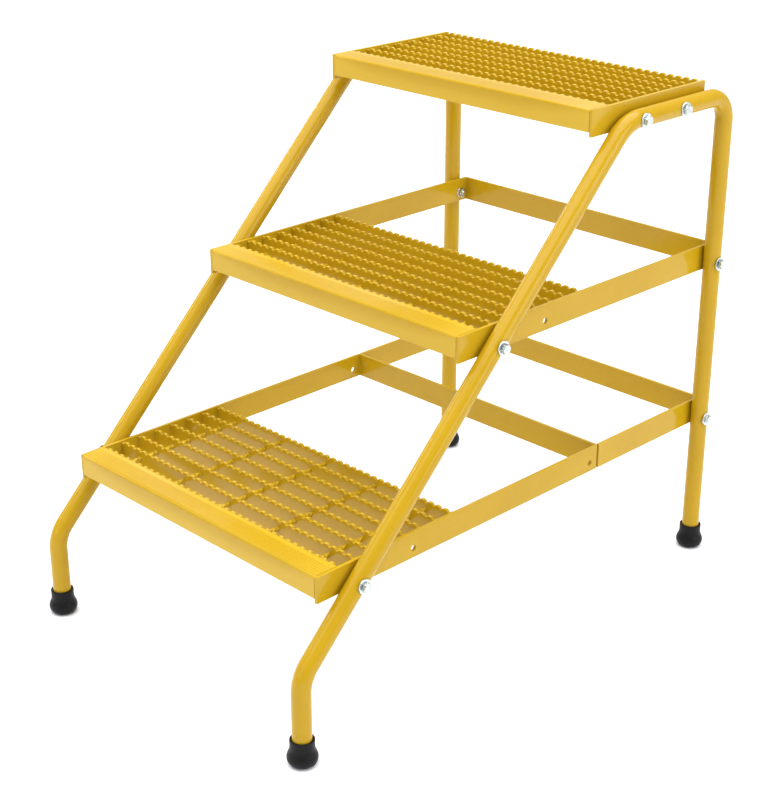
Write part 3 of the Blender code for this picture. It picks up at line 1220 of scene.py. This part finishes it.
@dataclass
class RubberFoot:
    """A moulded cap over the end of a leg: collar, bulb and a ringed sole."""

    end: str
    side: Side
    collar: float = 0.0168
    bulb: float = 0.0209
    bulb_height: float = 0.0112
    collar_height: float = 0.0262
    base: float = 0.0108
    socket: float = 0.0134
    floor: float = 0.0080
    rim: float = 0.0016
    collar_edge: float = 0.004  # from the rim to where the collar starts to taper
    collar_taper: float = 0.00015
    shoulder: float = 0.0035  # from the collar's foot to where its taper ends
    sole_grooves: tuple[float, ...] = (0.0088, 0.0055)
    groove_depth: float = 0.0007
    steps: int = 72

    def profile(self, height: float) -> list[Spot]:
        """Radius and height from the socket's floor over the collar to the sole.

        Args:
            height: of the whole foot.

        Returns:
            The profile.
        """
        rim = self.rim
        made = [(0.0, self.floor), (self.socket, self.floor), (self.socket, height - rim * 0.5)]
        made += [(self.socket + rim * 0.35, height - rim * 0.12)]
        made += arc((self.collar - rim, height - rim), rim, 90, 0, 5)
        made += [(self.collar, height - self.collar_edge)]
        made += [(self.collar - self.collar_taper, self.collar_height + self.shoulder)]
        for step in range(1, 11):
            share = step / 10
            radius = self.collar + (self.bulb - self.collar) * (0.5 - 0.5 * math.cos(math.pi * share))
            made.append((radius, self.collar_height + (self.bulb_height - self.collar_height) * share))
        for degrees in range(10, 100, 10):
            angle = math.radians(degrees)
            radius = self.base + (self.bulb - self.base) * math.cos(angle)
            made.append((radius, self.bulb_height * (1 - math.sin(angle))))
        mouth, bed = 0.0008, 0.0005  # half a sole groove's width at the sole and at its bottom
        for middle in self.sole_grooves:
            made += [(middle + mouth, 0.0), (middle + bed, self.groove_depth)]
            made += [(middle - bed, self.groove_depth), (middle - mouth, 0.0)]
        made.append((0.0, 0.0))
        return made

    def build(self, finishes: Finishes) -> bpy.types.Object:
        """Shapes and fits the foot."""
        node = f"{self.end}_{self.side.label}_foot"
        low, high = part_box(node)
        middle = (low + high) / 2
        skin = Skin()
        skin.turn(self.profile(high.z), self.steps)
        placed = skin.moved(Matrix.Translation((middle.x, middle.y, 0.0)))
        return fit(placed.piece(f"{node}_cap", finishes.rubber, 40), Slot.RUBBER, node)


# ------------------------------------------------------------------- fasteners


@dataclass(frozen=True)
class Hexagon:
    """A hexagon with slightly round corners."""

    across_flats: float = 0.0127
    corner: float = 0.0005
    points_a_flat: int = 7

    def outline(self, turn: float) -> list[Spot]:
        """Its points.

        Args:
            turn: how far it is turned, in radians.

        Returns:
            The points, anticlockwise.
        """
        made = []
        for flat in range(6):
            spoke = math.pi / 3 * (flat + 0.5) + turn
            for step in range(4):
                angle = math.pi / 3 * (flat + 0.5) + math.pi / 3 * (step / 3 - 0.5) + turn
                made.append(self._corner_point(spoke, angle))
            following = math.pi / 3 * (flat + 1.5) + turn
            made += self._flat(made[-1], self._corner_point(following, following - math.pi / 6))
        return made

    def _corner_point(self, spoke: float, angle: float) -> Spot:
        """A point of a round corner, from the corner's direction and its own.

        Args:
            spoke: the direction of the corner, in radians.
            angle: the direction of the point from the corner's centre.

        Returns:
            The point.
        """
        reach = (self.across_flats / 2 - self.corner) / math.cos(math.pi / 6)
        return (
            reach * math.cos(spoke) + self.corner * math.cos(angle),
            reach * math.sin(spoke) + self.corner * math.sin(angle),
        )

    def _flat(self, start: Spot, end: Spot) -> list[Spot]:
        """Points along a flat, its ends left out.

        Args:
            start: where the flat starts.
            end: where it ends.

        Returns:
            The points.
        """
        shares = [step / (self.points_a_flat + 1) for step in range(1, self.points_a_flat + 1)]
        return [tuple(a + (b - a) * share for a, b in zip(start, end)) for share in shares]


@dataclass
class BoltSet:
    """A hexagon bolt with its flat washer outside the tube and its flange nut inside the bar."""

    side: Side
    place: str
    turn: float
    hexagon: Hexagon = field(default_factory=Hexagon)
    head_height: float = 0.0054
    shank: float = 0.0039
    thread_pitch: float = 0.00125
    thread_depth: float = 0.0005
    thread_length: float = 0.0115
    washer_bore: float = 0.0044
    flange_height: float = 0.0014
    chamfer_start: float = 0.97  # share of the flats' distance that a chamfer leaves
    chamfer_angle: float = 30.0
    sharp_angle: float = 28.0
    nut_turn: float = 1.7  # times the head's turn
    clearance: float = 0.0003  # between shank and nut
    round_steps: int = 48

    def build(self, finishes: Finishes) -> list[bpy.types.Object]:
        """Shapes and fits bolt, washer and nut."""
        stem = f"{self.side.label}_{self.place}"
        made = [
            (self._bolt(f"{stem}_bolt"), "bolt", "hex"),
            (self._washer(f"{stem}_washer"), "washer", "flat"),
            (self._nut(f"{stem}_nut"), "nut", "flanged"),
        ]
        pieces = [
            (skin.piece(f"{stem}_{kind}_{form}", finishes.zinc, self.sharp_angle), kind)
            for skin, kind, form in made
        ]
        return [fit(piece, Slot.ZINC, f"{stem}_{kind}") for piece, kind in pieces]

    def _ring(self, outline: Iterable[Spot], x: float, node: str, scale: float = 1.0) -> Ring:
        """A ring across the bolt's axis at |x|.

        Args:
            outline: its points about the axis.
            x: how far it is from the stand's middle.
            node: the node whose axis is meant.
            scale: by which the outline grows.

        Returns:
            The ring.
        """
        middle = centre_of(node)
        return [
            Vector((self.side.value * x, middle.y + u * scale, middle.z + v * scale)) for u, v in outline
        ]

    def _reach(self, node: str) -> Span:
        """|x| of a node's inner and outer ends."""
        low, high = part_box(node)
        return tuple(sorted((abs(low.x), abs(high.x))))

    def _chamfered(self, outline: Sequence[Spot], tip: float, way: float, node: str) -> list[Ring]:
        """Rings of a hexagon's end whose corners are turned off.

        Args:
            outline: the hexagon.
            tip: |x| of its end face.
            way: 1 if the end faces outwards and -1 if inwards.
            node: the piece's node.

        Returns:
            Rings from the flats to the middle of the end face.
        """
        flat = self.hexagon.across_flats / 2 * self.chamfer_start
        middle = centre_of(node)
        slope, edge_drop = math.tan(math.radians(self.chamfer_angle)), 0.0002
        edge = []
        for u, v in outline:
            over = max(0.0, math.hypot(u, v) - flat)
            x = tip - way * (over * slope + edge_drop)
            edge.append(Vector((self.side.value * x, middle.y + u, middle.z + v)))
        circle = [(u * flat / math.hypot(u, v), v * flat / math.hypot(u, v)) for u, v in outline]
        return [
            edge,
            self._ring(circle, tip, node),
            self._ring(circle, tip, node, 0.55),
            self._ring(circle, tip, node, 0.02),
        ]

    def _bolt(self, node: str) -> Skin:
        """Head and threaded shank.

        Args:
            node: the bolt's node.

        Returns:
            The mesh, from the head's face to the end of the thread.
        """
        inner, outer = self._reach(node)
        seat = outer - self.head_height
        outline = self.hexagon.outline(self.turn)
        count = len(outline)
        round_line = round_outline(count, self.shank)
        rings = list(reversed(self._chamfered(outline, outer, 1, node)))
        rings.append(self._ring(outline, seat + 0.0003, node))
        rings.append(self._ring(outline, seat, node, 0.97))
        rings.append(self._ring(round_line, seat, node, 1.04))
        rings.append(self._ring(round_line, seat - 0.0006, node))
        thread_start = inner + self.thread_length
        rings.append(self._ring(round_line, thread_start, node))
        steps = round(self.thread_length / self.thread_pitch * 8)
        end_cut = 1.4  # how much deeper than the thread the end's chamfer goes
        middle = centre_of(node)
        for step in range(steps + 1):
            x = thread_start - self.thread_length * step / steps
            runout = min(1.0, step / 6, (steps - step) / 5 + 0.35)
            ring = []
            for number, (u, v) in enumerate(round_outline(count)):
                wave = abs(((x / self.thread_pitch + number / count) % 1.0) * 2 - 1)
                cut_in = wave if step < steps else end_cut
                reach = self.shank - self.thread_depth * cut_in * runout
                ring.append(Vector((self.side.value * x, middle.y + reach * u, middle.z + reach * v)))
            rings.append(ring)
        rings.append(self._ring(round_line, inner, node, 0.1))
        skin = Skin()
        skin.loft(rings)
        return skin

    def _washer(self, node: str) -> Skin:
        """A flat washer with a soft stamped edge.

        Args:
            node: the washer's node.

        Returns:
            The mesh.
        """
        inner, outer = self._reach(node)
        low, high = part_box(node)
        rim = (high.z - low.z) / 2
        circle = round_outline(self.round_steps)
        stops = [
            (inner, self.washer_bore),
            (inner, rim - 0.0003),
            (inner + 0.0002, rim),
            (outer - 0.0005, rim),
            (outer - 0.00012, rim - 0.0002),
            (outer, rim - 0.0006),
            (outer, self.washer_bore + 0.0003),
            (outer - 0.0003, self.washer_bore),
        ]
        skin = Skin()
        skin.loft([self._ring(circle, x, node, reach) for x, reach in stops], is_loop=True)
        return skin

    def _nut(self, node: str) -> Skin:
        """A hexagon nut on its round flange, open where the bolt passes.

        Args:
            node: the nut's node.

        Returns:
            The mesh.
        """
        inner, outer = self._reach(node)
        low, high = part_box(node)
        flange = (high.z - low.z) / 2
        outline = self.hexagon.outline(self.turn * self.nut_turn)
        circle = round_outline(len(outline))
        lined_up = sorted(outline, key=lambda p: math.atan2(p[1], p[0]) % math.tau)
        bore = self.shank + self.clearance
        neck = outer - self.flange_height
        rings = [
            self._ring(circle, outer, node, bore),
            self._ring(circle, outer, node, flange - 0.0002),
            self._ring(circle, outer - 0.0004, node, flange),
            self._ring(circle, neck + 0.0002, node, flange - 0.0003),
            self._ring(lined_up, neck, node, 1.0),
            *self._chamfered(lined_up, inner, -1, node)[:2],
            self._ring(circle, inner, node, bore + 0.0006),
            self._ring(circle, inner + 0.0006, node, bore),
        ]
        skin = Skin()
        skin.loft(rings, is_loop=True)
        return skin


# ---------------------------------------------------------------------- studio


@dataclass(frozen=True)
class Softbox:
    """A square studio light that faces a point on the stand."""

    name: str
    place: tuple[float, float, float]
    width: float
    height: float
    power: float
    colour: Colour = (1.0, 1.0, 1.0)
    aim: tuple[float, float, float] = (0.0, 0.0, 0.4)

    def build(self) -> bpy.types.Object:
        """Hangs the light."""
        lamp = bpy.data.lights.new(self.name, "AREA")
        lamp.shape = "RECTANGLE"
        lamp.size = self.width
        lamp.size_y = self.height
        lamp.energy = self.power
        lamp.color = self.colour
        made = bpy.data.objects.new(self.name, lamp)
        made.location = self.place
        made.rotation_euler = (Vector(self.aim) - Vector(self.place)).to_track_quat("-Z", "Y").to_euler()
        bpy.context.scene.collection.objects.link(made)
        return made


@dataclass
class Studio:
    """Pale floor, soft light and the camera."""

    floor_size: float = 120.0
    floor_easing: float = 0.5
    floor_thickness: float = 0.02
    world_strength: float = 0.60
    world_colour: Colour = (0.98, 1.0, 1.03)
    camera_place: tuple[float, float, float] = (1.59322, -1.57822, 1.27624)
    camera_yaw: float = 0.792818
    camera_pitch: float = -0.408172
    camera_roll: float = -0.000496
    lens: float = 74.79
    lights: tuple[Softbox, ...] = (
        Softbox("ceiling_softbox", (0.0, 0.3, 4.6), 6.0, 6.0, 390.0, (0.97, 0.98, 1.06), (0.0, 0.3, 0.0)),
        Softbox("right_softbox", (3.8, 0.9, 1.6), 2.2, 2.2, 62.0),
        Softbox("front_softbox", (-0.8, -4.0, 1.6), 2.4, 1.6, 24.0),
        Softbox("high_front_softbox", (-0.4, -2.6, 3.2), 2.4, 1.2, 20.0),
        Softbox("high_left_softbox", (-2.6, -0.8, 2.8), 1.8, 1.8, 8.0),
        Softbox("rear_left_softbox", (-3.0, 3.2, 2.95), 2.8, 1.4, 12.0, (1.0, 1.0, 1.0), (0.0, 0.0, 0.3)),
        Softbox("left_strip", (-3.0, -0.75, 1.9), 3.0, 0.12, 22.0, (1.0, 0.99, 0.97), (0.0, 0.0, 0.45)),
    )

    def build(self, finishes: Finishes) -> None:
        """Sets up floor, light and camera."""
        self._lay_floor(finishes)
        self._light_world()
        for light in self.lights:
            light.build()
        self._place_camera()

    def _lay_floor(self, finishes: Finishes) -> None:
        """Lays the floor just under the soles."""
        half = self.floor_size / 2
        outline = rounded_box((-half, -half), (half, half), self.floor_easing, 6)
        skin = Skin()
        skin.loft(
            [
                [Vector((x, y, z)) for x, y in outline]
                for z in (-self.floor_thickness, 0.0)
            ]
        )
        skin.piece("studio_floor", finishes.floor)

    def _light_world(self) -> None:
        """Gives the room an even light."""
        world = bpy.data.worlds.new("studio_world")
        world.use_nodes = True
        sky = world.node_tree.nodes["Background"]
        sky.inputs["Color"].default_value = (*self.world_colour, 1.0)
        sky.inputs["Strength"].default_value = self.world_strength
        bpy.context.scene.world = world

    def _place_camera(self) -> None:
        """Stands the camera before the stand's right front corner."""
        scene = bpy.context.scene
        lens = bpy.data.cameras.new("camera")
        lens.lens = self.lens
        lens.clip_start = 0.05
        lens.clip_end = 200.0
        made = bpy.data.objects.new("camera", lens)
        turn = Matrix.Rotation(self.camera_yaw, 4, "Z")
        turn = turn @ Matrix.Rotation(math.pi / 2 + self.camera_pitch, 4, "X")
        turn = turn @ Matrix.Rotation(self.camera_roll, 4, "Z")
        made.matrix_world = Matrix.Translation(self.camera_place) @ turn
        scene.collection.objects.link(made)
        scene.camera = made
        scene.view_settings.view_transform = "Standard"


# ------------------------------------------------------------------------ main


def main() -> None:
    """Builds the stand, the studio and the camera."""
    logging.basicConfig(level=logging.INFO, format="%(message)s")
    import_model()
    finishes = Finishes.make()
    Studio().build(finishes)
    for side in Side:
        SideFrame(side).build(finishes)
        TreadPlate(side).build(finishes)
        for end in ("front", "rear"):
            RubberFoot(end, side).build(finishes)
        for number, place in enumerate(BOLT_PLACES):
            turn = FIRST_TURN + TURN_STEP * number + SIDE_TURN * side.value
            BoltSet(side, place, turn).build(finishes)
    FlatBarFrame("lower_tread_frame", "lower", (SPARE_HOLE, REAR_HOLE), "lower_front").build(finishes)
    FlatBarFrame("middle_tread_frame", "middle", (SPARE_HOLE,), "middle_front").build(finishes)
    FlatBarFrame("rear_brace", "lower", (), "lower_front").build(finishes)
    for level in Level:
        Nosing(level).build(finishes)
        SerratedGrating(level).build(finishes)


if __name__ == "__main__":
    main()
